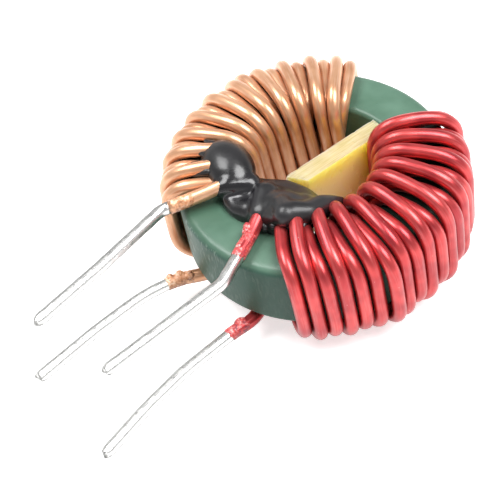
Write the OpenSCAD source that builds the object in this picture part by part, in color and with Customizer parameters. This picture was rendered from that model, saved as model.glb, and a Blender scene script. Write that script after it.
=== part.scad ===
// Common-mode choke: two enamelled windings on one ferrite ring, kept apart by a plate.
// Millimetres. Z is the axis of the ring, the leads leave toward -Y, the red winding is on +X.
// The part lies flat: its lowest turns touch z = 0.

/* [Ring core] */
// Outside diameter of the ferrite ring
core_od = 22.1; // [21.5:0.1:23]
// Diameter of the bore through the ferrite ring
core_bore = 13.7; // [13.5:0.1:14.2]
// Height of the ferrite ring along its axis
core_h = 6.4; // [6:0.1:8]
// Radius that rounds the four edges of the ring
core_edge = 0.4; // [0.35:0.05:0.6]

/* [Wire] */
// Diameter of the wire over its enamel
wire_d = 1.05; // [0.98:0.01:1.05]
// Diameter of the ends, where the enamel is stripped and the copper is tinned
lead_d = 1; // [0.94:0.01:1.04]
// Turns in each winding, wound out in every other place and back in the places between
turns = 21; // [15:2:21]

/* [Windings] */
// Angle from the lead side to the first red turn on the rim
red_start = 45.5; // [43:0.5:48]
// Angle from one red turn to the next on the rim
red_pitch = 5.85; // [5.6:0.05:5.9]
// Angle from the lead side to the first copper turn on the rim
copper_start = 28.5; // [27:0.5:32]
// Angle from one copper turn to the next on the rim
copper_pitch = 5.78; // [5.6:0.02:5.9]
// How far the turns stand off the rim of the ring
rim_slack = 0.35; // [0.34:0.01:0.5]
// How far the turns bow off the flat faces of the ring
face_slack = 0.2; // [0.2:0.01:0.3]

/* [Leads] */
// How far the copper leads reach from the middle of the ring, upper then lower
copper_reach_top = 25.2; // [20:0.1:32]
copper_reach_low = 26.4; // [20:0.1:32]
// How far the red leads reach from the middle of the ring, upper then lower
red_reach_top = 23.7; // [20:0.1:32]
red_reach_low = 26.2; // [20:0.1:32]

/* [Divider plate] */
// Thickness of the plate
plate_t = 1.6; // [1:0.1:1.8]
// How far the plate stands in from the lead side of the bore
plate_inset = 5.1; // [4.6:0.1:5.6]
// Height of the plate
plate_h = 6.3; // [5:0.1:6.4]

/* [Hidden] */
air = 0.03;
face = core_h/2 + wire_d/2 + air + 0.01;
bowed = face + face_slack - air - 0.01;
wall = core_bore/2 - wire_d/2 - air - 0.03;
rim = core_od/2 + wire_d/2 + rim_slack;
layer = wire_d + air;
// The turns rise to a crown over each face, and go round its rim in a shoulder of this radius
crown = 0.15;
shoulder = 1.9*wire_d;
inner_bend = 1.2*wire_d;
mid_r = core_bore/2 + 0.7*(core_od - core_bore)/2;
// Each way out is [enamelled stops from the coil, tinned stops to the tip, share of the way between them
// at which the enamel ends], and a stop is [x, y, z, bend radius]
copper_top = [[[-2.6, -8.4, face + 0.55, 3]],
    [[-4.1, -11.9, face, 1.5], [-2.6, -18.6, face, 20], [-1.4, -copper_reach_top, face, 0]], 0.8];
copper_low = [[[-2.35, -10.4, -bowed, 5], [-3.35, -12.2, -face, 4]],
    [[-3.9, -15.6, -face, 12], [-3.55, -20.5, -face, 20], [-2.75, -copper_reach_low, -face, 0]], 0.25];
red_top = [[[2.3, -7.7, face + 0.2, 4]], [[5.12, -12.6, face, 2], [5.83, -red_reach_top, face, 0]], 0.65];
red_low = [[[4.3, -10, -bowed, 4], [4.05, -11.6, -face, 3]],
    [[4.5, -17.2, -face, 20], [5.3, -21.2, -face, 20], [6.7, -red_reach_low, -face, 0]], 0.15];

function unit(v) = v/norm(v);
// A winding is [side, rim start, rim pitch, bore start, bore pitch, closing-up, far limit,
// turns pushed along the bore [turn, angle], loose turns [turn, bulge], angle of the lead's own bend,
// angle that the rim runs lean]
copper = [-1, copper_start, copper_pitch, 23, 6.45, 0, 160,
    [[3, 1], [13, 1], [17, 3], [19, 2]], [[9, 0.6], [12, 0.8]], 16, 0];
red = [1, red_start, red_pitch, 29, 8.1, 0.07, 162,
    [[9, 3], [11, 8], [13, 5.5], [15, 4.5], [17, 5], [19, 5]],
    [[6, 0.6], [10, 0.15], [11, 0.2], [12, 0.25], [13, 0.25], [14, 0.25], [15, 0.2], [16, 0.1]], 10.5, 1];

function pick(list, k) = let(hit = [for (e = list) if (e[0] == k) e[1]]) len(hit) > 0 ? hit[0] : 0;
function rim_angle(w, k) = w[1] + w[2]*k;
function bore_angle(w, k) = w[3] + w[4]*k - w[5]*k*k;
// The upper layer has room for one wire every "snug" degrees in the bore
snug = (layer + 0.02)/(wall - layer)*180/PI;
function kept(w, k, a, limit) = min(a, limit - (turns - 2 - k)/2*snug);
function top_angle(w, k) = k % 2 ? kept(w, k, bore_angle(w, k) + pick(w[7], k), w[6]) : bore_angle(w, k);
function low_angle(w, k) = k % 2 ? kept(w, k, bore_angle(w, k + 2) - 2, w[6] + 2) : bore_angle(w, k - 2);
function inset(k) = k % 2 ? wall - layer - 0.01 : wall;
// Angle of a run where it crosses the middle circle of the ring's face
function over(w, k, b, lean) = b + (rim_angle(w, k) + lean - b)*(mid_r - inset(k))/(rim - inset(k));
// How much a turn of the upper layer climbs there, so that it clears its two neighbours
function climb(w, k, b, lean, left, right) = k % 2 == 0 ? 0 :
    let(here = over(w, k, b, lean), d = min(abs(here - left), abs(right - here))*PI/180*mid_r)
    sqrt(max(0, pow(layer + 0.1, 2) - d*d));
function top_climb(w, k) = climb(w, k, top_angle(w, k), -w[10],
    over(w, k - 1, bore_angle(w, k - 1), -w[10]), over(w, k + 1, bore_angle(w, k + 1), -w[10]));
function low_climb(w, k) = climb(w, k, low_angle(w, k - 2), w[10],
    over(w, k - 1, bore_angle(w, k - 1), w[10]), over(w, k + 1, bore_angle(w, k + 1), w[10]));
// One turn: up the bore, out over the top, down the rim and back under, as [r, angle, z, bend radius]
function turn(w, k) =
    let(up = k % 2, ri = inset(k), slack = pick(w[8], k), ro = rim + slack, a = rim_angle(w, k),
        b = top_angle(w, k), zi = bowed + up*(layer + 0.25), bend = inner_bend + 0.75*up*layer,
        t = top_climb(w, k) + up*slack/2, l = low_climb(w, k), back = low_angle(w, k + (up == 1 ? -2 : 2)))
    [[ri, low_angle(w, k), -zi, bend], [ri, b, zi, bend],
     [mid_r, over(w, k, b, -w[10]), bowed + crown + t, 5],
     [ro, a - w[10], bowed + 0.2*t + 0.4*slack, shoulder], [ro, a + w[10], -bowed - 0.35*l, shoulder],
     [mid_r, over(w, k, back, w[10]), -bowed - crown - l, 5]];
function order() = concat([for (k = [0:2:turns - 1]) k], [for (k = [turns - 2:-2:1]) k]);
function coil(w) = concat([for (k = order()) each turn(w, k)],
    [[inset(1), low_angle(w, -1), -bowed - layer - 0.25, inner_bend + 0.75*layer],
        [inset(1), w[9], bowed + layer, inner_bend + 0.3*layer]]);
function at(w, s) = [w[0]*s[0]*sin(s[1]), -s[0]*cos(s[1]), s[2], s[3]];
function mix(a, b, f) = a + (b - a)*f;
function last(list) = list[len(list) - 1];
function reversed(list) = [for (i = [len(list) - 1:-1:0]) list[i]];
// Where the enamel ends on a way out
function stripped(out) = mix(last(out[0]), out[1][0], out[2]);
function enamelled(w, low, top) = concat([stripped(low)], reversed(low[0]),
    [for (s = coil(w)) at(w, s)], top[0], [stripped(top)]);
copper_path = enamelled(copper, copper_low, copper_top);
red_path = enamelled(red, red_low, red_top);

// [trim, sweep] of every bend, and the lowest point that a wire reaches
function point(s) = [s[0], s[1], s[2]];
function bends(stops) = let(n = len(stops), p = [for (s = stops) point(s)],
    sweep = [for (i = [0:n - 1]) i == 0 || i == n - 1 ? 0 :
        180 - acos(unit(p[i - 1] - p[i])*unit(p[i + 1] - p[i]))],
    trim = [for (i = [0:n - 1]) stops[i][3]*tan(sweep[i]/2)],
    // Two bends share a straight that is too short for both
    share = [for (i = [0:n - 2]) 0.96*norm(p[i + 1] - p[i])/(trim[i] + trim[i + 1] + 0.01)])
    [for (i = [0:n - 1]) [trim[i]*min(1, share[max(i - 1, 0)], share[min(i, n - 2)]), sweep[i]]];
function arc_low(p, a, b, trim, sweep) =
    let(bend = trim/tan(sweep/2), c = p + unit(a + b)*bend/cos(sweep/2), x = unit(p + a*trim - c))
    min([for (t = [0:sweep/12:sweep]) c[2] + bend*(x[2]*cos(t) - a[2]*sin(t))]);
function lowest(stops) = let(k = bends(stops))
    min([for (i = [1:len(stops) - 2]) arc_low(point(stops[i]), unit(point(stops[i - 1]) - point(stops[i])),
        unit(point(stops[i + 1]) - point(stops[i])), k[i][0], k[i][1])]);
// The middle plane of the ring stands this high, so that the lowest turn touches z = 0
stand = wire_d/2 - min(lowest(copper_path), lowest(red_path));

module frame(o, x, y) {
    z = cross(x, y);
    multmatrix([[x[0], y[0], z[0], o[0]], [x[1], y[1], z[1], o[1]], [x[2], y[2], z[2], o[2]], [0, 0, 0, 1]])
        children();
}
module rod(a, b, r) {
    z = unit(b - a);
    x = unit(cross(abs(z[2]) < 0.9 ? [0, 0, 1] : [1, 0, 0], z));
    frame(a, x, cross(z, x)) cylinder(r = r, h = norm(b - a), $fn = 20);
}
// A round wire through the stops: straight rods and true arcs that overlap by a hair
module wire(stops, r) {
    n = len(stops);
    p = [for (s = stops) point(s)];
    k = bends(stops);
    for (i = [0:n - 2]) {
        d = unit(p[i + 1] - p[i]);
        rod(p[i] + d*(k[i][0] - (i > 0 ? lap : 0)), p[i + 1] - d*(k[i + 1][0] - (i < n - 2 ? lap : 0)), r);
    }
    for (i = [1:n - 2]) {
        a = unit(p[i - 1] - p[i]);
        b = unit(p[i + 1] - p[i]);
        bend = k[i][0]/tan(k[i][1]/2);
        c = p[i] + unit(a + b)*bend/cos(k[i][1]/2);
        frame(c, unit(p[i] + a*k[i][0] - c), -a)
            rotate_extrude(angle = k[i][1], $fn = 40) translate([bend, 0]) circle(r = r - 0.004, $fn = 20);
    }
}
lap = 0.02;

module ring_blank(grow, sides = 96) {
    w = (core_od - core_bore)/2;
    rotate_extrude($fn = sides) translate([core_bore/2, 0]) {
        translate([core_edge, -core_h/2 - grow]) square([w - 2*core_edge, core_h + 2*grow]);
        translate([-grow, core_edge - core_h/2]) square([w + 2*grow, core_h - 2*core_edge]);
        for (x = [core_edge, w - core_edge], z = [core_edge - core_h/2, core_h/2 - core_edge])
            translate([x, z]) circle(r = core_edge + grow, $fn = 24);
    }
}
module ring_core() { color("darkseagreen") ring_blank(0); }
module copper_winding() { color("peru") wire(copper_path, wire_d/2); }
module red_winding() { color("firebrick") wire(red_path, wire_d/2); }
// A tinned end, from where the enamel ends to its tip
module lead(out) { color("silver") wire(concat([stripped(out)], out[1]), lead_d/2); }
module plate_blank(grow) {
    left = plate_x - plate_t/2 - grow;
    right = plate_x + plate_t/2 + grow;
    near = plate_inset - core_bore/2 - grow;
    translate([0, 0, -plate_h/2 - grow]) linear_extrude(plate_h + 2*grow)
        polygon([[left, near - 0.5], [right, near + 0.5], [right, core_bore/2], [left, core_bore/2]]);
}
module plate() {
    color("khaki") intersection() {
        plate_blank(0);
        cylinder(r = core_bore/2 - 0.01, h = core_h, center = true, $fn = 96);
    }
}
plate_x = 0.15;

// Glue poured between the windings at the lead side, as balls joined in pairs: [x, y, z, radius]
pool = [[-1.9, -5.2, 2.7, 1.3], [-1.2, -6.3, 2.9, 1.3], [0.9, -6.2, 3.1, 1.3], [3.2, -4.9, 3.1, 1.2],
    [2.7, -2.6, 2.6, 1.05], [0, -2.8, 2.5, 1.1], [-1.9, -5.2, 2.7, 1.3]];
middle = [0.5, -4.7, 2.5, 1.5];
ridge = [[-2.6, -7.7, 4, 0.75], [-1.9, -6.6, 4.4, 0.9], [-1.3, -5.3, 4.1, 0.95]];
lobe = [[-1.9, -7.6, 3.3, 0.9], [-0.6, -7.6, 3.3, 0.8], [0.6, -6.8, 3.4, 1]];
cover = [[0.7, -5.1, 4.1, 0.95], [1.5, -6.3, 4, 0.8]];
bank = [[2.2, -6.4, 3.6, 0.9], [2.7, -5.7, 4, 0.95], [3.6, -4.8, 4, 0.9], [4.3, -3.6, 3.8, 0.8],
    [4.7, -2, 3.3, 0.6], [4.7, -0.9, 3, 0.4]];
dab = [[-5.4, -6.2, 4.2, 1.1], [-5.2, -5.2, 4.5, 1.1], [-3.5, -4.9, 4.8, 1.2], [-2.3, -5.5, 4.7, 1.1],
    [-2.5, -6.3, 4.3, 1], [-4.2, -6.9, 3.9, 1.1], [-5.4, -6.2, 4, 1.1]];
// Points along a wire, bend after bend
function along(stops) = let(k = bends(stops), n = len(stops)) [for (i = [0:n - 1])
    let(p = point(stops[i])) if (k[i][1] == 0) p else
    let(a = unit(point(stops[i - 1]) - p), b = unit(point(stops[i + 1]) - p), bend = k[i][0]/tan(k[i][1]/2),
        c = p + unit(a + b)*bend/cos(k[i][1]/2), x = unit(p + a*k[i][0] - c), m = ceil(k[i][1]/16))
    each [for (j = [0:m]) c + bend*(x*cos(k[i][1]*j/m) - a*sin(k[i][1]*j/m))]];
// Turns v as little as may be until it is square to d
function square_to(v, d) = unit(v - d*(v*d));
// An eight-sided hose whose flats lie r from its middle: the room that a wire takes in the glue
module hose(stops, r, sides = 8) {
    p = along(stops);
    n = len(p);
    dir = [for (i = [0:n - 1]) unit(p[min(i + 1, n - 1)] - p[max(i - 1, 0)])];
    side = [for (i = 0, v = square_to([0, 0, 1], dir[0]); i < n; i = i + 1,
        v = square_to(v, dir[min(i, n - 1)])) v];
    // Each ring is turned half a step from the last
    ring = [for (i = [0:n - 1], j = [0:sides - 1]) let(t = 360*(j + (i % 2)/2)/sides)
        p[i] + r/cos(180/sides)*(side[i]*cos(t) + cross(dir[i], side[i])*sin(t))];
    polyhedron(ring, concat(
        [[for (j = [0:sides - 1]) j]], [[for (j = [sides - 1:-1:0]) (n - 1)*sides + j]],
        [for (i = [0:n - 2], j = [0:sides - 1], half = [0, 1])
            let(a = i*sides + j, b = i*sides + (j + 1)%sides, c = a + sides, d = b + sides)
            i % 2 == 0 ? (half == 0 ? [a, c, b] : [b, c, d]) : (half == 0 ? [a, c, d] : [a, d, b])]));
}
module ball(b) { translate([b[0], b[1], b[2]]) rotate([6, 5, 15]) sphere(r = b[3], $fn = 14); }
module chain(list, deep = []) {
    for (i = [0:len(list) - 2]) hull() {
        ball(list[i]);
        ball(list[i + 1]);
        if (len(deep) > 0) ball(deep);
    }
}
module glue() {
    color("dimgray") difference() {
        union() {
            chain(pool, middle);
            chain([middle, [0.4, -5, -0.6, 1.5]]);
            chain(ridge);
            chain(lobe, [-0.5, -6.9, 2.8, 0.8]);
            chain(cover, [2, -5.7, 3.4, 1]);
            chain(bank, [2.6, -4.4, 2.8, 1]);
            chain(dab, [-4, -5.8, 4.2, 1.1]);
        }
        ring_blank(0.01, 48);
        plate_blank(0.01);
        hose(copper_path, wire_d/2 + 0.025);
        hose(red_path, wire_d/2 + 0.025);
    }
}

module up() { translate([0, 0, stand]) children(); }
up() ring_core();
up() copper_winding();
up() red_winding();
up() plate();  // divider_plate
up() glue();
up() lead(copper_top);  // copper_lead_top
up() lead(copper_low);  // copper_lead_low
up() lead(red_top);  // red_lead_top
up() lead(red_low);  // red_lead_low
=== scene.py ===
"""A common-mode choke on a white floor: windings, glue, ring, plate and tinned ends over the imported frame."""
import math

import bmesh
import bpy
from mathutils import Matrix, Vector, noise


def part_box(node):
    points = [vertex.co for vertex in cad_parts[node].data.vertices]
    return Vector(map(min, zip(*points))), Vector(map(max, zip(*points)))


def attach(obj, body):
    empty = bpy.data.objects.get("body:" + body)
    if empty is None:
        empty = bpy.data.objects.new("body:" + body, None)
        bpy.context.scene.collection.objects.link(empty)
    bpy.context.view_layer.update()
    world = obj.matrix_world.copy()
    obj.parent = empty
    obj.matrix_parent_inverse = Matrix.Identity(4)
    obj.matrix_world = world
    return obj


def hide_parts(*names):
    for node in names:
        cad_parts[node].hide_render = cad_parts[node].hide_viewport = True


MM = 0.001
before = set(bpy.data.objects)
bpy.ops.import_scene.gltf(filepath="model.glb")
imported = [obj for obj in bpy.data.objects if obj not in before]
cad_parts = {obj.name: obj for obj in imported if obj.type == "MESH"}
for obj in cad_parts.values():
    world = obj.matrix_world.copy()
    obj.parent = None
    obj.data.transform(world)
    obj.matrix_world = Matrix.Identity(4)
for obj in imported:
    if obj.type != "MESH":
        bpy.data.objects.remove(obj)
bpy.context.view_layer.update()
core_low, core_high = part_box("ring_core")
stand = (core_low.z + core_high.z) / 2 / MM
lift = Vector((0, 0, stand))

# The part's own measures, in millimetres, about the middle of the ring. The slacks are room under a turn at
# the rim and under its bow on a face; air is what parts two wires, and a hair keeps two surfaces apart
core_od, core_bore, core_h, core_edge = 22.1, 13.7, 6.4, 0.4
wire_d, lead_d, turns = 1.05, 1.0, 21
rim_slack, face_slack = 0.35, 0.2
air, hair = 0.03, 0.01
plate_x, plate_t, plate_inset, plate_h = 0.15, 1.6, 5.1, 6.3
# Where a wire's axis runs: over the ring's faces, bowed off them, down the bore's wall and down the rim; and
# how far the upper layer of turns lies on the lower one
face = core_h / 2 + wire_d / 2 + air + hair
bowed = face + face_slack - air - hair
wall = core_bore / 2 - wire_d / 2 - air - 3 * hair
rim = core_od / 2 + wire_d / 2 + rim_slack
layer = wire_d + air
# A turn's bends: its rise in the middle of a face, its radius at the rim and at the bore, and how much higher
# and wider the upper layer bends into the bore
crown, shoulder, inner_bend = 0.15, 1.9 * wire_d, 1.2 * wire_d
upper_rise, upper_bend = layer + 0.25, 0.75 * layer
mid_r = core_bore / 2 + 0.7 * (core_od - core_bore) / 2


# ---- Materials -------------------------------------------------------------------------------------

def linear(code):
    """An sRGB hex colour as the linear colour that a shader takes."""
    parts = [int(code[i:i + 2], 16) / 255 for i in (0, 2, 4)]
    return [c / 12.92 if c <= 0.04045 else ((c + 0.055) / 1.055) ** 2.4 for c in parts] + [1.0]


def add(tree, kind, inputs=None, **settings):
    """Adds one node: settings are its properties, inputs are values or the sockets that feed it."""
    node = tree.nodes.new("ShaderNode" + kind)
    for name, value in settings.items():
        setattr(node, name, value)
    for name, value in (inputs or {}).items():
        if isinstance(value, bpy.types.NodeSocket):
            tree.links.new(value, node.inputs[name])
        else:
            node.inputs[name].default_value = value
    return node


def mix(tree, share, first, second):
    """A colour that goes from first to second as share goes from 0 to 1."""
    return add(tree, "Mix", {0: share, 6: first, 7: second}, data_type="RGBA").outputs[2]


def ramp(tree, value, start, end, low=0.0, high=1.0, **settings):
    """Goes from low to high as value goes from start to end, and no further."""
    return add(tree, "MapRange", {"Value": value, "From Min": start, "From Max": end, "To Min": low,
                                  "To Max": high}, **settings).outputs[0]


def calc(tree, operation, *values):
    """One step of arithmetic on one or two values."""
    return add(tree, "Math", dict(enumerate(values)), operation=operation).outputs[0]


def blank_material(name):
    """A new material and its node tree, which is empty."""
    mat = bpy.data.materials.new(name)
    mat.use_nodes = True
    mat.node_tree.nodes.clear()
    return mat, mat.node_tree


def surfaced(mat, sockets):
    """The material, with one principled skin as its surface."""
    skin = add(mat.node_tree, "BsdfPrincipled", sockets)
    add(mat.node_tree, "OutputMaterial", {"Surface": skin.outputs[0]})
    return mat


def per_mm(size):
    """The texture scale at which one cell of a pattern measures size millimetres."""
    return 1 / (size * MM)


def clouds(tree, where, size, detail):
    """Soft noise in clouds some size millimetres across."""
    return add(tree, "TexNoise", {"Vector": where, "Scale": per_mm(size), "Detail": detail}).outputs["Fac"]


def cells(tree, where, size):
    """How far a place is from the nearest of many scattered points, in cells of size millimetres."""
    return add(tree, "TexVoronoi", {"Vector": where, "Scale": per_mm(size)}).outputs["Distance"]


def enamelled_copper(name, body, deep, pale, metal, streak_to, coat, bore_shade):
    """Drawn copper wire in a baked enamel film: a warm metal under a clear skin, with die lines along it."""
    mat, tree = blank_material(name)
    # The run attribute holds millimetres along the wire, then the place round it
    run = add(tree, "Attribute", attribute_name="run")
    place = add(tree, "TexCoord")
    # Die lines 0.1 mm wide and 3 mm long
    lines = add(tree, "Mapping", {"Vector": run.outputs["Vector"], "Scale": (0.35, 9.0, 9.0)})
    draw = add(tree, "TexNoise", {"Vector": lines.outputs[0], "Scale": 1.0, "Detail": 3.0})
    # The enamel's thickness drifts over 2 mm
    drift = clouds(tree, place.outputs["Object"], 2.0, 2.0)
    soft = ramp(tree, drift, 0.35, 0.65)
    film = mix(tree, soft, linear(body), linear(deep))
    fine = ramp(tree, draw.outputs["Fac"], 0.52, 0.72, high=streak_to)
    base = mix(tree, fine, film, linear(pale))
    # Painted shade: the wire's colour goes toward the bore shade colour nearer the bore, from 8 mm to 6.4 mm
    # off the ring's axis
    flat = add(tree, "VectorMath", {0: place.outputs["Object"], 1: (1, 1, 0)}, operation="MULTIPLY")
    radius = add(tree, "VectorMath", {0: flat.outputs[0]}, operation="LENGTH")
    bore_shade_share = ramp(tree, radius.outputs["Value"], 8.0 * MM, 6.4 * MM, high=0.2, interpolation_type="SMOOTHSTEP")
    bore_shaded = mix(tree, bore_shade_share, base, linear(bore_shade))
    # Dust: pale grains 0.08 mm across, a few to a turn
    grains = cells(tree, place.outputs["Object"], 1.1)
    speck = ramp(tree, grains, 0.045, 0.025, high=0.4)
    dust = mix(tree, speck, bore_shaded, linear("f0e6dc"))
    rough = ramp(tree, draw.outputs["Fac"], 0, 1, low=0.25, high=0.4)
    bump = add(tree, "Bump", {"Height": draw.outputs["Fac"], "Strength": 0.06, "Distance": 0.03 * MM})
    return surfaced(mat, {
        "Base Color": dust, "Metallic": metal, "Roughness": rough,
        "Normal": bump.outputs[0], "Coat Weight": coat, "Coat Roughness": 0.25})


def burnt_enamel(name, crust, hollow, char, pale):
    """Enamel that the soldering heat has blistered: dull crumbs 0.2 mm across, charred in their joints."""
    mat, tree = blank_material(name)
    place = add(tree, "TexCoord")
    crumbs = cells(tree, place.outputs["Object"], 0.22)
    stain = clouds(tree, place.outputs["Object"], 0.5, 4.0)
    joint = ramp(tree, crumbs, 0.25, 0.75)
    rust = mix(tree, joint, linear(crust), linear(hollow))
    burnt = ramp(tree, stain, 0.56, 0.7)
    dark = mix(tree, burnt, rust, linear(char))
    light = ramp(tree, stain, 0.44, 0.34, high=0.8)
    base = mix(tree, light, dark, linear(pale))
    bump = add(tree, "Bump", {"Height": crumbs, "Strength": 0.6, "Distance": 0.06 * MM},
               invert=True)
    return surfaced(mat, {
        "Base Color": base, "Roughness": 0.36, "Normal": bump.outputs[0],
        "Coat Weight": 0.5, "Coat Roughness": 0.15})


def dipped_tin():
    """Solder that the end was dipped in: a bright white metal, wiped along the wire, with painted dark
    reflections down two sides.
    """
    mat, tree = blank_material("dipped_solder_tin")
    # The run attribute holds millimetres from the tip, then the place round the wire: sideways and up
    run = add(tree, "Attribute", attribute_name="run")
    lines = add(tree, "Mapping", {"Vector": run.outputs["Vector"], "Scale": (0.25, 4.0, 4.0)})
    wipe = add(tree, "TexNoise", {"Vector": lines.outputs[0], "Scale": 1.0, "Detail": 4.0, "Roughness": 0.6})
    clump = add(tree, "Mapping", {"Vector": run.outputs["Vector"], "Scale": (1.2, 3.0, 3.0)})
    grain = add(tree, "TexNoise", {"Vector": clump.outputs[0], "Scale": 1.6, "Detail": 3.0})
    part = add(tree, "SeparateXYZ", {0: run.outputs["Vector"]})
    angle = calc(tree, "ARCTAN2", part.outputs["Z"], part.outputs["Y"])
    shake = ramp(tree, grain.outputs["Fac"], 0, 1, low=-0.07, high=0.07)
    round_it = calc(tree, "ADD", angle, shake)

    def stripe(middle, core, edge, strength):
        """A grey line along the wire: full as far as core degrees from its middle, gone at edge degrees."""
        off = calc(tree, "SUBTRACT", round_it, math.radians(middle))
        far = calc(tree, "ABSOLUTE", off)
        return ramp(tree, far, math.radians(edge), math.radians(core), high=strength)
    # Painted reflection: the lines at 146 and -40 degrees are dark reflections painted down the wire's two
    # sides; the seam at 95 degrees is a grey line along the top, broken where the tin is wiped
    left, right, seam = stripe(146, 8, 26, 0.45), stripe(-40, 8, 26, 0.45), stripe(95, 10, 36, 0.35)
    worn = ramp(tree, wipe.outputs["Fac"], 0.3, 0.6)
    broken = calc(tree, "MULTIPLY", seam, worn)
    sides = calc(tree, "MAXIMUM", left, right)
    outlines_and_seam = calc(tree, "MAXIMUM", sides, broken)
    cut = ramp(tree, part.outputs["X"], 0.3, 0.05, high=0.7)
    dark = calc(tree, "MAXIMUM", outlines_and_seam, cut)
    dull = ramp(tree, grain.outputs["Fac"], 0.56, 0.8, high=0.35)
    base = mix(tree, dull, linear("e6e6e4"), linear("c4c2bd"))
    tint = mix(tree, dark, base, linear("6f6e6c"))
    bump = add(tree, "Bump", {"Height": wipe.outputs["Fac"], "Strength": 0.2, "Distance": 0.05 * MM})
    rough = ramp(tree, grain.outputs["Fac"], 0, 1, low=0.18, high=0.4)
    return surfaced(mat, {
        "Base Color": tint, "Metallic": 1.0, "Roughness": rough,
        "Specular Tint": linear("141414"), "Normal": bump.outputs[0]})


def cast_glue():
    """Black epoxy poured and cured in air: a skin like wet tar, with a faint grey bloom and a few pinholes."""
    mat, tree = blank_material("poured_black_epoxy")
    place = add(tree, "TexCoord")
    bloom = clouds(tree, place.outputs["Object"], 2.4, 3.0)
    haze = ramp(tree, bloom, 0.35, 0.7)
    base = mix(tree, haze, linear("0e0e10"), linear("1e1d20"))
    swell = clouds(tree, place.outputs["Object"], 1.1, 2.0)
    pits = cells(tree, place.outputs["Object"], 1.3)
    pin = ramp(tree, pits, 0.02, 0.11)
    height = calc(tree, "ADD", swell, pin)
    bump = add(tree, "Bump", {"Height": height, "Strength": 0.35, "Distance": 0.09 * MM})
    # Glassy where it set last, round the ends of the windings, and satin elsewhere
    last = add(tree, "VectorMath", {0: place.outputs["Object"],
                                    1: (-1.1 * MM, -6.3 * MM, (stand + 4.6) * MM)}, operation="DISTANCE")
    skinned = ramp(tree, last.outputs["Value"], 0.6 * MM, 2.6 * MM, low=0.16, high=0.4)
    vary = ramp(tree, bloom, 0.3, 0.7, low=0.85, high=1.15)
    rough = calc(tree, "MULTIPLY", skinned, vary)
    return surfaced(mat, {
        "Base Color": base, "Roughness": rough, "Normal": bump.outputs[0],
        "Coat Weight": 0.15, "Coat Roughness": 0.12})


def coated_ferrite():
    """Green epoxy powder on ferrite: satin, softly pitted and scuffed grey on the rim, with painted shade on
    the rim and under the turns.
    """
    mat, tree = blank_material("powder_coated_ferrite")
    place = add(tree, "TexCoord")
    centred = add(tree, "Mapping", {"Vector": place.outputs["Object"], "Location": (0, 0, -stand * MM)})
    cloud = clouds(tree, place.outputs["Object"], 4.0, 3.0)
    patch = ramp(tree, cloud, 0.35, 0.68)
    green = mix(tree, patch, linear("456352"), linear("5b7a69"))
    # Scuffs: fine slanting strokes that stand up the rim, few of them on the red winding's half
    turned = add(tree, "Mapping", {"Vector": place.outputs["Object"], "Rotation": (0.0, 0.35, 0.3),
                                   "Scale": (1.0, 1.0, 0.16)})
    stroke = clouds(tree, turned.outputs[0], 0.16, 2.0)
    sparse = clouds(tree, place.outputs["Object"], 2.2, 2.0)
    thin = ramp(tree, stroke, 0.52, 0.66)
    where = ramp(tree, sparse, 0.38, 0.62)
    flat = add(tree, "VectorMath", {0: centred.outputs[0], 1: (1, 1, 0)}, operation="MULTIPLY")
    radius = add(tree, "VectorMath", {0: flat.outputs[0]}, operation="LENGTH")
    on_rim = ramp(tree, radius.outputs["Value"], 10.85 * MM, 11.0 * MM)
    scuffed = calc(tree, "MULTIPLY", thin, where)
    worn_rim = calc(tree, "MULTIPLY", scuffed, on_rim)
    # Painted shade under the turns, where the windings cover the ring: by the angle from the side of the leads
    part = add(tree, "SeparateXYZ", {0: flat.outputs[0]})
    back = calc(tree, "MULTIPLY", part.outputs["Y"], -1.0)
    angle = calc(tree, "ARCTAN2", part.outputs["X"], back)

    def painted_winding_shade(middle, half):
        """How much painted shade a winding that reaches half degrees each way from its middle puts on the ring.
        """
        off = calc(tree, "SUBTRACT", angle, math.radians(middle))
        far = calc(tree, "ABSOLUTE", off)
        return ramp(tree, far, math.radians(half), math.radians(half - 3), high=0.8)
    near = ramp(tree, angle, math.radians(16), math.radians(-6), low=0.12)
    scuffs = calc(tree, "MULTIPLY", worn_rim, near)
    under = calc(tree, "MAXIMUM", painted_winding_shade(104, 60), painted_winding_shade(-87, 61))
    shaded = mix(tree, under, green, linear("14231d"))
    # Painted shade: the rim takes a darker green than the faces
    green_with_painted_rim_shade = mix(tree, on_rim, shaded, linear("2f5546"))
    marked = mix(tree, scuffs, green_with_painted_rim_shade, linear("8fa396"))
    orange = clouds(tree, place.outputs["Object"], 0.5, 3.0)
    pits = cells(tree, place.outputs["Object"], 0.8)
    pit = ramp(tree, pits, 0.04, 0.12)
    height = calc(tree, "ADD", orange, pit)
    rubbed = calc(tree, "ADD", height, scuffs)
    bump = add(tree, "Bump", {"Height": rubbed, "Strength": 0.25, "Distance": 0.05 * MM})
    rough = ramp(tree, on_rim, 0, 1, low=0.34, high=0.5)
    return surfaced(mat, {
        "Base Color": marked, "Roughness": rough, "Normal": bump.outputs[0],
        "Specular IOR Level": 0.3, "Coat Weight": 0.1, "Coat Roughness": 0.25})


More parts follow.
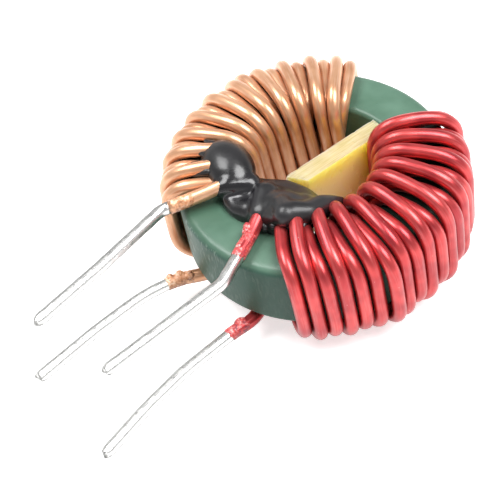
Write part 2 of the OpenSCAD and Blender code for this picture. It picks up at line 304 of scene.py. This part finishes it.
def glass_laminate():
    """Glass cloth in yellow epoxy, sawn to size: a translucent sheet whose cut edges show pale saw lines."""
    mat, tree = blank_material("sawn_glass_epoxy_laminate")
    place = add(tree, "TexCoord")
    centred = add(tree, "Mapping", {"Vector": place.outputs["Object"], "Location": (0, 0, -stand * MM)})
    split = add(tree, "SeparateXYZ", {0: centred.outputs[0]})
    # On the broad sides the colour goes from gold at the top edge to a browner tan lower down
    fall = ramp(tree, split.outputs["Z"], 2.9 * MM, 0.6 * MM, interpolation_type="SMOOTHSTEP")
    gold = mix(tree, fall, linear("f5d878"), linear("f4d69a"))
    # The weave, faint under the resin: a wave's crests lie pi / 10 of its cell apart, here 0.89 mm
    warp, weft = (add(tree, "TexWave", {"Vector": place.outputs["Object"], "Scale": per_mm(2.82735),
                                        "Distortion": 0.6, "Detail": 1.0}, bands_direction=axis).outputs["Fac"]
                  for axis in "ZY")
    weave = calc(tree, "MULTIPLY", warp, weft)
    faint = ramp(tree, weave, 0, 1, high=0.16)
    side = mix(tree, faint, gold, linear("f1dc8c"))
    # The sawn top and ends: paler, with lines along the sheet 0.14 mm apart
    normal = add(tree, "NewGeometry")
    facing = add(tree, "SeparateXYZ", {0: normal.outputs["True Normal"]})
    across = calc(tree, "ABSOLUTE", facing.outputs["X"])
    sawn = ramp(tree, across, 0.75, 0.35)
    long = add(tree, "Mapping", {"Vector": place.outputs["Object"], "Scale": (1.0, 0.06, 0.3)})
    saw = clouds(tree, long.outputs[0], 0.14, 2.0)
    cut = ramp(tree, saw, 0.35, 0.65)
    edge = mix(tree, cut, linear("ae9d6a"), linear("c4b58e"))
    base = mix(tree, sawn, side, edge)
    bump = add(tree, "Bump", {"Height": saw, "Strength": 0.3, "Distance": 0.03 * MM})
    rough = ramp(tree, sawn, 0, 1, low=0.32, high=0.62)
    return surfaced(mat, {
        "Base Color": base, "Roughness": rough, "Normal": bump.outputs[0],
        "Subsurface Weight": 0.9, "Subsurface Radius": (1.0, 0.8, 0.4), "Subsurface Scale": 5.0 * MM})


copper_enamel = enamelled_copper("copper_wire_in_clear_enamel", "e4b08a", "cb926c", "fce8d8",
                                 metal=0.65, streak_to=0.25, coat=0.3, bore_shade="98602f")
red_enamel = enamelled_copper("copper_wire_in_red_enamel", "d04a4a", "aa3238", "f6c0bc",
                              metal=0.7, streak_to=0.12, coat=0.2, bore_shade="c4483a")
burnt_clear = burnt_enamel("blistered_clear_enamel", "eab088", "c88458", "7a4426", "fbe2c8")
burnt_red = burnt_enamel("blistered_red_enamel", "dc5854", "b03a40", "54223c", "f8c4c0")
tin = dipped_tin()
epoxy = cast_glue()
ferrite = coated_ferrite()
laminate = glass_laminate()


# ---- The winding rule, as the real choke is wound: out in every other place, back in those between --

# Each way out: enamelled stops from the coil, tinned stops to the tip, and the share of the way between
# them at which the enamel ends. A stop is (x, y, z, bend radius).
copper_top = ([(-2.6, -8.4, face + 0.55, 3)],
              [(-4.1, -11.9, face, 1.5), (-2.6, -18.6, face, 20), (-1.4, -25.2, face, 0)], 0.8)
copper_low = ([(-2.35, -10.4, -bowed, 5), (-3.35, -12.2, -face, 4)],
              [(-3.9, -15.6, -face, 12), (-3.55, -20.5, -face, 20), (-2.75, -26.4, -face, 0)], 0.25)
red_top = ([(2.45, -7.45, face + 0.15, 4)],
           [(5.12, -12.6, face, 2), (5.83, -23.7, face, 0)], 0.52)
red_low = ([(4.3, -10, -bowed, 4), (4.05, -11.6, -face, 3)],
           [(4.5, -17.2, -face, 20), (5.3, -21.2, -face, 20), (6.7, -26.2, -face, 0)], 0.15)

# A winding: the side of the ring; on the rim and in the bore the angle of the first turn, then the pitch (and
# in the bore how fast it shrinks); the far limit; degrees by which single turns are pushed on; millimetres by
# which single turns are loose; where the last turn leaves; and how far the turns lean on the rim
copper = dict(side=-1, rim=(28.5, 5.78), bore=(23, 6.45, 0), far=160,
              pushed={3: 1, 13: 1, 17: 3, 19: 2}, loose={9: 0.1, 12: 0.6}, leave=16, lean=0)
red = dict(side=1, rim=(45.5, 5.85), bore=(29, 8.1, 0.07), far=162,
           pushed={9: 3, 11: 8, 13: 5.5, 15: 4.5, 17: 5, 19: 5},
           loose={6: 0.6, 10: 0.15, 11: 0.2, 12: 0.25, 13: 0.25, 14: 0.25, 15: 0.2, 16: 0.1},
           leave=10.5, lean=1)
# The least angle between two turns side by side in the upper layer
snug = math.degrees((layer + 2 * hair) / (wall - layer))


def rim_angle(w, k):
    """Where turn k goes down the rim, in degrees from the side of the leads."""
    return w["rim"][0] + w["rim"][1] * k


def bore_angle(w, k):
    """Where turn k would stand in the bore if it had the place to itself."""
    return w["bore"][0] + w["bore"][1] * k - w["bore"][2] * k * k


def kept(w, k, angle, limit):
    """The upper layer's turns push one another back from the far gap."""
    return min(angle, limit - (turns - 2 - k) / 2 * snug)


def top_angle(w, k):
    """Where turn k leaves the bore over the upper face."""
    if k % 2 == 0:
        return bore_angle(w, k)
    return kept(w, k, bore_angle(w, k) + w["pushed"].get(k, 0), w["far"])


def low_angle(w, k):
    """Where turn k comes into the bore from the lower face."""
    if k % 2 == 0:
        return bore_angle(w, k - 2)
    return kept(w, k, bore_angle(w, k + 2) - 2, w["far"] + 2)


def inset(k):
    """How far from the ring's axis turn k runs: the odd ones lie on the even ones."""
    return wall - layer - hair if k % 2 else wall


def over(w, k, b, lean):
    """Where a run crosses the middle circle of the ring's face."""
    return b + (rim_angle(w, k) + lean - b) * (mid_r - inset(k)) / (rim - inset(k))


def climb(w, k, b, lean):
    """How far a turn of the upper layer rises there to clear its two neighbours."""
    if k % 2 == 0:
        return 0
    spare, here = 0.1, over(w, k, b, lean)
    left, right = (over(w, j, bore_angle(w, j), lean) for j in (k - 1, k + 1))
    d = math.radians(min(abs(here - left), abs(right - here))) * mid_r
    return math.sqrt(max(0, (layer + spare) ** 2 - d * d))


def turn(w, k):
    """One turn's corners as (radius, angle, height, bend): up the bore, over, down the rim, back under."""
    up, a, b, slack = k % 2, rim_angle(w, k), top_angle(w, k), w["loose"].get(k, 0)
    ri, ro = inset(k), rim + slack
    zi, bend = bowed + up * upper_rise, inner_bend + up * upper_bend
    lean = w["lean"]
    t, low = climb(w, k, b, -lean) + up * slack / 2, climb(w, k, low_angle(w, k - 2), lean)
    back = over(w, k, low_angle(w, k + (-2 if up else 2)), lean)
    return [(ri, low_angle(w, k), -zi, bend), (ri, b, zi, bend),
            (mid_r, over(w, k, b, -lean), bowed + crown + t, 5),
            (ro, a - lean, bowed + 0.2 * t + 0.4 * slack, shoulder),
            (ro, a + lean, -bowed - 0.35 * low, shoulder), (mid_r, back, -bowed - crown - low, 5)]


def stripped(way):
    """Where the enamel ends on a way out, as a stop."""
    return tuple(p + (q - p) * way[2] for p, q in zip(way[0][-1], way[1][0]))


def wound(w, low, top):
    """All the corners of one wire's enamelled length, from its lower strip to its upper strip."""
    corners = []
    for k in list(range(0, turns, 2)) + list(range(turns - 2, -1, -2)):
        corners += turn(w, k)
    corners += [(inset(1), low_angle(w, -1), -bowed - upper_rise, inner_bend + upper_bend),
                (inset(1), w["leave"], bowed + layer, inner_bend + 0.3 * layer)]
    placed = [(w["side"] * r * math.sin(math.radians(a)), -r * math.cos(math.radians(a)), z, bend)
              for r, a, z, bend in corners]
    return [stripped(low)] + low[0][::-1] + placed + top[0] + [stripped(top)]


def rounded(stops, step=0.35):
    """Points along the stops in millimetres, with each corner turned into an arc of its own bend radius."""
    points = [Vector(s[:3]) for s in stops]
    last = len(points) - 1
    full, sweeps = [0.0] * (last + 1), [0.0] * (last + 1)
    for i in range(1, last):
        sweeps[i] = math.pi - (points[i - 1] - points[i]).angle(points[i + 1] - points[i])
        full[i] = stops[i][3] * math.tan(sweeps[i] / 2)
    # Two bends share a straight that is too short for both, with a little of it left between them
    used = 0.96
    share = [used * (points[i + 1] - points[i]).length / (full[i] + full[i + 1] + hair) for i in range(last)]
    trims = [full[i] * min(1, share[max(i - 1, 0)], share[min(i, last - 1)]) for i in range(last + 1)]
    path = [points[0]]
    for i in range(last):
        d = (points[i + 1] - points[i]).normalized()
        start, end = points[i] + d * trims[i], points[i + 1] - d * trims[i + 1]
        count = max(1, round((end - start).length / step))
        path += [start.lerp(end, n / count) for n in range(1, count + 1)]
        if i + 1 < last and sweeps[i + 1] > 0.001:
            corner = points[i + 1]
            a, b = -d, (points[i + 2] - corner).normalized()
            bend = trims[i + 1] / math.tan(sweeps[i + 1] / 2)
            middle = corner + (a + b).normalized() * bend / math.cos(sweeps[i + 1] / 2)
            out = (corner + a * trims[i + 1] - middle).normalized()
            count = max(1, round(bend * sweeps[i + 1] / step))
            for n in range(1, count + 1):
                t = sweeps[i + 1] * n / count
                path.append(middle + bend * (math.cos(t) * out - math.sin(t) * a))
    return path


def relaxed(path, rounds):
    """Eases the joints between straights and arcs, as stiff wire does, with both ends held."""
    for _ in range(rounds):
        path = [path[0]] + [path[i].lerp((path[i - 1] + path[i + 1]) / 2, 0.5)
                            for i in range(1, len(path) - 1)] + [path[-1]]
    return path


# ---- Pieces ----------------------------------------------------------------------------------------

def finish_piece(obj, material, slot, *replaced):
    """Hands a piece to the frame: its material and the solids that it stands for; slot is not used."""
    obj.data.materials.clear()
    obj.data.materials.append(material)
    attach(obj, "root")
    if replaced:
        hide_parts(*replaced)
    return obj


def link(name, data):
    """A new object in the scene."""
    obj = bpy.data.objects.new(name, data)
    bpy.context.scene.collection.objects.link(obj)
    return obj


def from_bmesh(name, bm):
    """A new object with the shape of a bmesh, which is done with."""
    mesh = bpy.data.meshes.new(name)
    bm.to_mesh(mesh)
    bm.free()
    return link(name, mesh)


def tube(name, path, width, sides=16, swell=None):
    """A wire swept along a path in millimetres; swell gives its width's factor at each point."""
    curve = bpy.data.curves.new(name, "CURVE")
    curve.dimensions = "3D"
    curve.bevel_depth = width / 2 * MM
    curve.bevel_resolution = (sides - 4) // 2
    curve.use_fill_caps = True
    spline = curve.splines.new("POLY")
    spline.points.add(len(path) - 1)
    for i, p in enumerate(path):
        spline.points[i].co = (p.x * MM, p.y * MM, (p.z + stand) * MM, 1)
        spline.points[i].radius = swell(i) if swell else 1
    shape = link(name, curve)
    bpy.context.view_layer.update()
    mesh = bpy.data.meshes.new_from_object(shape.evaluated_get(bpy.context.evaluated_depsgraph_get()))
    bpy.data.objects.remove(shape)
    bm = bmesh.new()
    bm.from_mesh(mesh)
    bmesh.ops.remove_doubles(bm, verts=bm.verts, dist=0.0001 * MM)
    bm.to_mesh(mesh)
    bm.free()
    obj = link(name, mesh)
    run = mesh.attributes.new("run", "FLOAT_VECTOR", "POINT")
    along, ring = 0.0, len(mesh.vertices) // len(path)
    for i, p in enumerate(path):
        along += (p - path[i - 1]).length if i else 0
        for j in range(ring):
            t = math.tau * j / ring
            run.data[i * ring + j].vector = (along, math.cos(t) * width / 2, math.sin(t) * width / 2)
    for polygon in mesh.polygons:
        polygon.use_smooth = True
    return obj


copper_path = relaxed(rounded(wound(copper, copper_low, copper_top)), rounds=6)
red_path = relaxed(rounded(wound(red, red_low, red_top)), rounds=8)
finish_piece(tube("copper_coloured_winding", copper_path, wire_d + 2 * air), copper_enamel, "copper_enamel",
             "copper_winding")
finish_piece(tube("red_coloured_winding", red_path, wire_d + 2 * air), red_enamel, "red_enamel", "red_winding")


def tinned(name, way, node, pinch):
    """A stripped end: bright solder that runs a little thick and thin, nipped flat and askew at the tip."""
    path = rounded([stripped(way)] + way[1], 0.2)
    uneven, nipped, squeeze, notch = 0.035, 0.7, 0.45, 0.35

    def swell(i):
        return 1 + uneven * noise.noise(path[i] * 1.3 + Vector((3, 5, 7)))
    obj = tube(name, path, lead_d, 24, swell)
    tip = path[-1]
    out = (tip - path[-2]).normalized()
    across = out.cross(Vector((0, 0, 1)))
    run, ring = obj.data.attributes["run"], len(obj.data.vertices) // len(path)
    for n, v in enumerate(obj.data.vertices):
        i = n // ring
        p = v.co / MM - lift
        level = (path[min(i + 1, len(path) - 1)] - path[max(i - 1, 0)]).cross(Vector((0, 0, -1))).normalized()
        run.data[n].vector = ((path[i] - tip).length, (p - path[i]).dot(level), p.z - path[i].z)
        p -= tip
        near = max(0, 1 + p.dot(out) / nipped)
        # The cutter's two jaws leave a wedge with a notch beside its edge
        edge = p.dot(across) * math.cos(pinch) + p.z * math.sin(pinch)
        flat = across * math.cos(pinch) + Vector((0, 0, math.sin(pinch)))
        p -= flat * edge * squeeze * near ** 2
        p -= out * notch * near * abs(edge) if near > 0.9 else Vector()
        v.co = (p + tip + lift) * MM
    return finish_piece(obj, tin, "lead_tin", node)


ways = {"copper_lead_top": (copper_top, 0.5), "copper_lead_low": (copper_low, 1.2),
        "red_lead_top": (red_top, 0.9), "red_lead_low": (red_low, 0.2)}
for name, (way, pinch) in ways.items():
    tinned("tinned_" + name, way, name, pinch)


def walked(path, length, step):
    """Points every step millimetres along a path, from its start."""
    points, i, done = [path[0].copy()], 0, 0.0
    while len(points) * step <= length and i < len(path) - 1:
        leg = (path[i + 1] - path[i]).length
        if done + leg >= len(points) * step:
            points.append(path[i].lerp(path[i + 1], (len(points) * step - done) / leg))
        else:
            done += leg
            i += 1
    return points


def blistered(name, wire, way, material, slot, length, spill, crumb, lumps):
    """Enamel that the solder bath burnt: a ragged sleeve of crumbs from the tin back along the wire.

    It covers length of the wire and spills a little over the tin, and is sunk in the wire where it ends. Each
    lump is (distance from the tin, the side it is on, its radius, its height).
    """
    step, sunk, film, crumb_rise = 0.06, 0.05, 0.015, 0.075
    bare = walked(rounded([stripped(way)] + way[1], 0.2), spill, step)
    path = bare[:0:-1] + walked(wire, length, step)
    obj = tube(name, path, wire_d, 48)
    ring = len(obj.data.vertices) // len(path)
    for n, v in enumerate(obj.data.vertices):
        i = n // ring
        middle = path[i]
        p = v.co / MM - lift
        out = (p - middle).normalized()
        ragged = noise.noise(p * 1.1 + Vector((9, 2, 4))) * 0.9 + noise.noise(p * 4.3) * 0.35
        along = i * step + ragged
        fade = max(0, min(1, along / 0.25, (length + spill - along) / 0.5))
        grain = max(0, 1 - noise.voronoi(p / crumb)[0][0])
        rise = film + crumb_rise * grain * (0.55 + 0.8 * noise.noise(p * 1.7))
        for far, toward, size, height in lumps:
            seat = path[min(len(path) - 1, len(bare) + round(far / step))] + Vector(toward) * wire_d / 2
            d = (seat - p).length
            rise += height * max(0, 1 - (d / size) ** 2)
        v.co = (p + out * (-sunk + fade * (sunk + rise)) + lift) * MM
    return finish_piece(obj, material, slot)


blistered("burnt_enamel_copper_top", copper_path[::-1], copper_top, burnt_clear, "copper_enamel",
          length=2.1, spill=0.25, crumb=0.2, lumps=[(0.7, (0.2, 0.1, 0.95), 0.35, 0.12)])
blistered("burnt_enamel_copper_low", copper_path, copper_low, burnt_clear, "copper_enamel",
          length=2.3, spill=0.3, crumb=0.22,
          lumps=[(1.6, (0.3, 0.1, 0.9), 0.4, 0.2), (0.9, (-0.5, 0.1, 0.8), 0.4, 0.22),
                 (0.2, (-0.7, 0, 0.6), 0.3, 0.18)])
blistered("burnt_enamel_red_top", red_path[::-1], red_top, burnt_red, "red_enamel",
          length=2.9, spill=0.35, crumb=0.2,
          lumps=[(2.3, (-0.85, -0.4, 0.3), 0.55, 0.2), (2.7, (-0.8, -0.4, 0.4), 0.4, 0.14)])
blistered("burnt_enamel_red_low", red_path, red_low, burnt_red, "red_enamel",
          length=2.0, spill=0.3, crumb=0.24, lumps=[(1.1, (-0.8, 0.1, 0.5), 0.5, 0.18)])


# ---- The glue: balls joined in pairs into one body, drawn smooth as a thick liquid sets ---------------

# Each ball is (x, y, z, radius)
pool = [(-1.7, -5.4, 3.0, 1.2), (-1.1, -6.3, 3.1, 1.25), (0.2, -6.6, 3.0, 1.25), (1.2, -6.1, 3.3, 1.25),
        (2.6, -5.2, 3.7, 1.25), (3.9, -4.1, 3.8, 1.15), (4.3, -2.9, 3.6, 1.0), (3.0, -2.6, 2.9, 1.0),
        (1.6, -2.3, 2.6, 0.8), (0.1, -2.8, 2.5, 0.85), (-1.1, -4.4, 2.5, 1.15), (-1.7, -5.4, 3.0, 1.2)]
middle, foot = (0.8, -4.7, 2.5, 1.5), (0.4, -5, -0.6, 1.5)
ridge = [(-2.3, -7.35, 4.3, 0.75), (-2.0, -6.7, 4.4, 0.9), (-1.2, -5.3, 4.1, 1.0)]
lobe = [(-1.2, -7.1, 3.4, 0.8), (-0.3, -7.2, 3.4, 0.8), (0.6, -6.7, 3.5, 1)]
cover = [(0.6, -5.0, 4.0, 1.15), (1.75, -6.45, 3.95, 1.0)]
wrap = [(3.1, -5.2, 4.6, 1.15), (4.1, -5.6, 5.15, 1.0)]
bank = [(2.5, -6.1, 4.0, 0.95), (3.3, -5.8, 4.6, 0.95), (4.25, -5.0, 5.0, 1.0), (4.8, -4.0, 4.7, 0.9),
        (4.6, -2.7, 4.3, 0.85), (4.7, -1.8, 3.9, 0.7), (4.7, -0.9, 3.4, 0.45)]
# Domes are (middle, half lengths, turn about the upright): the sheet over the first red turns, and the dab
domes = [((1.1, -4.85, 2.95), (2.6, 1.75, 1.45), 30), ((2.8, -5.0, 3.6), (2.6, 1.9, 1.85), 35),
         ((3.6, -3.6, 3.6), (1.5, 1.3, 1.2), 0), ((-3.75, -5.45, 4.25), (2.8, 2.0, 1.7), -7)]
# Thin runs that crept out between the turns
creeps = [[(-5.2, -6.2, 5.0, 0.4), (-6.2, -6.6, 4.9, 0.16)], [(-4.6, -6.9, 5.0, 0.4), (-5.6, -7.6, 4.8, 0.16)],
          [(-5.8, -5.2, 5.0, 0.4), (-6.8, -5.4, 4.9, 0.16)], [(-4, -7.2, 4.8, 0.4), (-4.8, -8.2, 4.5, 0.16)],
          [(3.0, -5.8, 4.3, 0.5), (3.6, -6.6, 4.2, 0.3)], [(4.0, -5.1, 4.3, 0.5), (4.5, -5.8, 4.2, 0.3)],
          [(4.8, -4.4, 4.3, 0.5), (5.3, -5.0, 4.3, 0.28)], [(2.2, -6.3, 4.0, 0.5), (2.9, -6.9, 3.7, 0.4)]]


def joined(bm, balls):
    """The convex skin round a few balls, added to the mesh."""
    one = bmesh.new()
    for x, y, z, r in balls:
        bmesh.ops.create_icosphere(one, subdivisions=3, radius=r * MM,
                                   matrix=Matrix.Translation(Vector((x, y, z + stand)) * MM))
    bmesh.ops.delete(one, geom=one.edges[:] + one.faces[:], context="EDGES_FACES")
    hull = bmesh.ops.convex_hull(one, input=one.verts[:])
    inside = {v for v in hull["geom_interior"] + hull["geom_unused"] if isinstance(v, bmesh.types.BMVert)}
    bmesh.ops.delete(one, geom=list(inside), context="VERTS")
    mesh = bpy.data.meshes.new("skin")
    one.to_mesh(mesh)
    one.free()
    bm.from_mesh(mesh)
    bpy.data.meshes.remove(mesh)


def domed(bm, middle, halves, turned):
    """An egg-shaped swell, added to the mesh."""
    place = Matrix.Translation((Vector(middle) + lift) * MM)
    swell = Matrix.Diagonal([half * MM for half in halves] + [1])
    shape = place @ Matrix.Rotation(math.radians(turned), 4, "Z") @ swell
    bmesh.ops.create_icosphere(bm, subdivisions=4, radius=1, matrix=shape)


def chained(bm, balls, *deep):
    """The skins round each ball and the next one, with the deep balls in each of them."""
    for pair in zip(balls, balls[1:]):
        joined(bm, pair + deep)


def poured(name, chains, domes, grain, rounds):
    """Chains of balls, and domes, as one closed skin, eased until the joints between the balls are gone."""
    bm = bmesh.new()
    for balls, *deep in chains:
        chained(bm, balls, *deep)
    for dome in domes:
        domed(bm, *dome)
    rough = from_bmesh(name, bm)
    fuse = rough.modifiers.new("fuse", "REMESH")
    fuse.mode, fuse.voxel_size, fuse.adaptivity = "VOXEL", grain * MM, 0
    ease = rough.modifiers.new("ease", "SMOOTH")
    ease.factor, ease.iterations = 0.5, rounds
    bpy.context.view_layer.update()
    mesh = bpy.data.meshes.new_from_object(rough.evaluated_get(bpy.context.evaluated_depsgraph_get()))
    bpy.data.objects.remove(rough)
    for polygon in mesh.polygons:
        polygon.use_smooth = True
    return link(name, mesh)


glue_chains = [(pool, middle), ([middle, foot],), (ridge,), (lobe, (-0.5, -6.9, 2.8, 0.8)),
               (cover, (2, -5.7, 3.4, 1)), (wrap, (2.6, -5, 3.6, 1)), (bank, (2.6, -4.4, 2.8, 1))]
finish_piece(poured("poured_glue", glue_chains, domes, grain=0.1, rounds=36), epoxy, "black_glue", "glue")
finish_piece(poured("glue_crept_between_turns", [(run,) for run in creeps], [], grain=0.07, rounds=8), epoxy,
             "black_glue")


# ---- The ring: a rounded square turned once round the axis ------------------------------------------

def coated_ring():
    """The ring with its coat, whose outer edges are rounder than those of the bore."""
    bm = bmesh.new()
    # The powder coat has drawn back from the edges as it flowed, so that each face is a little domed
    wall_t, sag, rim_edge = (core_od - core_bore) / 2, 0.16, 1.5 * core_edge
    low = [(wall_t * f, sag * (2 * f - 1) ** 2 - core_h / 2) for f in (0, 0.2, 0.4, 0.6, 0.8, 1)]
    corners = [bm.verts.new(((core_bore / 2 + x) * MM, 0, (stand + z) * MM))
               for x, z in low + [(x, -z) for x, z in reversed(low)]]
    for i in range(len(corners)):
        bm.edges.new((corners[i - 1], corners[i]))
    outer, inner = corners[len(low) - 1:len(low) + 1], (corners[0], corners[-1])
    for pair, radius in ((outer, rim_edge), (inner, core_edge)):
        bmesh.ops.bevel(bm, geom=list(pair), offset=radius * MM, offset_type="OFFSET", segments=8, profile=0.5,
                        affect="VERTICES", material=-1)
    bmesh.ops.spin(bm, geom=bm.verts[:] + bm.edges[:], cent=(0, 0, 0), axis=(0, 0, 1), angle=math.tau,
                   steps=180, use_merge=True)
    bmesh.ops.recalc_face_normals(bm, faces=bm.faces)
    for f in bm.faces:
        f.smooth = True
    return from_bmesh("powder_coated_ring", bm)


finish_piece(coated_ring(), ferrite, "ring_core", "ring_core")


# ---- The divider: a strip sawn from board, its arrises broken and its edges nicked ------------------------

def sawn_plate():
    """The plate, whose near end is cut askew and whose far end fits the bore."""
    left, right, near = plate_x - plate_t / 2, plate_x + plate_t / 2, plate_inset - core_bore / 2
    bore, skew = core_bore / 2 - hair, 0.5
    plan = [(left, near - skew), (right, near + skew), (right, math.sqrt(bore ** 2 - right ** 2)),
            (left, math.sqrt(bore ** 2 - left ** 2))]
    bm = bmesh.new()
    foot = bm.faces.new([bm.verts.new((x * MM, y * MM, (stand - plate_h / 2) * MM)) for x, y in plan])
    raised = bmesh.ops.extrude_face_region(bm, geom=[foot])["geom"]
    bmesh.ops.translate(bm, verts=[v for v in raised if isinstance(v, bmesh.types.BMVert)],
                        vec=(0, 0, plate_h * MM))
    bmesh.ops.recalc_face_normals(bm, faces=bm.faces)
    long = [e for e in bm.edges if e.calc_length() > 4 * MM]
    bmesh.ops.subdivide_edges(bm, edges=long, cuts=60, use_grid_fill=True)
    sharp = [e for e in bm.edges if len(e.link_faces) == 2 and e.calc_face_angle() > 0.7]
    bmesh.ops.bevel(bm, geom=sharp, offset=0.05 * MM, offset_type="OFFSET", segments=2, profile=0.5,
                    affect="EDGES", material=-1)
    nick_depth = 0.12
    for v in bm.verts:
        p = v.co / MM
        nick = nick_depth * max(0, noise.noise(p * 2.3 + Vector((4, 1, 8))) - 0.25)
        v.co.x -= math.copysign(nick, p.x - plate_x) * MM
        v.co.z -= math.copysign(nick, p.z - stand) * MM
    return from_bmesh("sawn_divider", bm)


finish_piece(sawn_plate(), laminate, "glass_laminate", "divider_plate")


# ---- Floor, light and camera -----------------------------------------------------------------------

def share_seen(tree, in_gloss):
    """How much of the white a ray sees: all of it straight from the camera, in_gloss of it in a reflection."""
    paths = add(tree, "LightPath")
    gloss = calc(tree, "MULTIPLY", paths.outputs["Is Glossy Ray"], in_gloss)
    seen = calc(tree, "MAXIMUM", paths.outputs["Is Camera Ray"], gloss)
    return calc(tree, "MAXIMUM", seen, paths.outputs["Is Transmission Ray"])


def sheet_of_floor():
    """White card: a bright white to the eye, and a duller white as a lamp to the part."""
    bm = bmesh.new()
    bmesh.ops.create_grid(bm, x_segments=1, y_segments=1, size=0.6)
    floor = from_bmesh("floor", bm)
    mat, tree = blank_material("white_card_floor")
    card = add(tree, "BsdfDiffuse", {"Color": linear("8c8c8c")})
    pale = add(tree, "BsdfDiffuse", {"Color": linear("f2f2f2")})
    glow = add(tree, "Emission", {"Color": (1, 1, 1, 1), "Strength": 0.62})
    lit = add(tree, "AddShader", {0: pale.outputs[0], 1: glow.outputs[0]})
    # A little less of its white comes back in the gloss, as from a card that ends not far off
    mixed = add(tree, "MixShader", {0: share_seen(tree, 0.85), 1: card.outputs[0], 2: lit.outputs[0]})
    add(tree, "OutputMaterial", {"Surface": mixed.outputs[0]})
    floor.data.materials.append(mat)


sheet_of_floor()

world = bpy.data.worlds.new("studio")
bpy.context.scene.world = world
world.use_nodes = True
sky = world.node_tree
sky.nodes.clear()
# The background is white at the height of the horizon and falls to grey overhead, where the lamps hang
toward = add(sky, "TexCoord")
height = add(sky, "SeparateXYZ", {0: toward.outputs["Generated"]})
fall = ramp(sky, height.outputs["Z"], 0.05, 0.45, low=1.0, high=0.42, interpolation_type="SMOOTHSTEP")
level = ramp(sky, share_seen(sky, 1.0), 0, 1, low=0.32, high=fall)
back = add(sky, "Background", {"Color": (1, 1, 1, 1), "Strength": level})
add(sky, "OutputWorld", {"Surface": back.outputs[0]})


def softbox(name, place, aim, size, power):
    """A rectangular lamp with a soft front: all in millimetres, and its power in watts."""
    light = bpy.data.lights.new(name, "AREA")
    light.shape = "RECTANGLE"
    light.size, light.size_y = size[0] * MM, size[1] * MM
    light.energy = power
    lamp = link(name, light)
    lamp.location = Vector(place) * MM
    lamp.rotation_euler = (Vector(aim) - Vector(place)).to_track_quat("-Z", "Y").to_euler()


softbox("key", (75, 55, 185), (0, 0, 5), (120, 120), 0.5)
softbox("overhead", (-80, -60, 185), (0, -4, 5), (120, 100), 0.4)

# The camera: its direction, then how far the middle of the ring stands from its axis, then its film and lens
azimuth, elevation, roll = math.radians(62.15), math.radians(49.4), math.radians(-11.8)
distance, aside, above = 110.5, 5.40, 4.65
half_film, lens = 18, 98.1216
back = Vector((math.sin(azimuth) * math.cos(elevation), -math.cos(azimuth) * math.cos(elevation),
               math.sin(elevation)))
level_right = Vector((math.cos(azimuth), math.sin(azimuth), 0))
upright = back.cross(level_right)
right = level_right * math.cos(roll) + upright * math.sin(roll)
up = upright * math.cos(roll) - level_right * math.sin(roll)
camera_data = bpy.data.cameras.new("camera")
camera_data.sensor_fit = "HORIZONTAL"
camera_data.angle = 2 * math.atan(half_film / lens)
camera_data.clip_start = 0.005
camera = link("camera", camera_data)
seat = (Vector((0, 0, stand)) + distance * back - aside * right - above * up) * MM
camera.matrix_world = Matrix.Translation(seat) @ Matrix((right, up, back)).transposed().to_4x4()
bpy.context.scene.camera = camera
bpy.context.scene.view_settings.view_transform = "Standard"
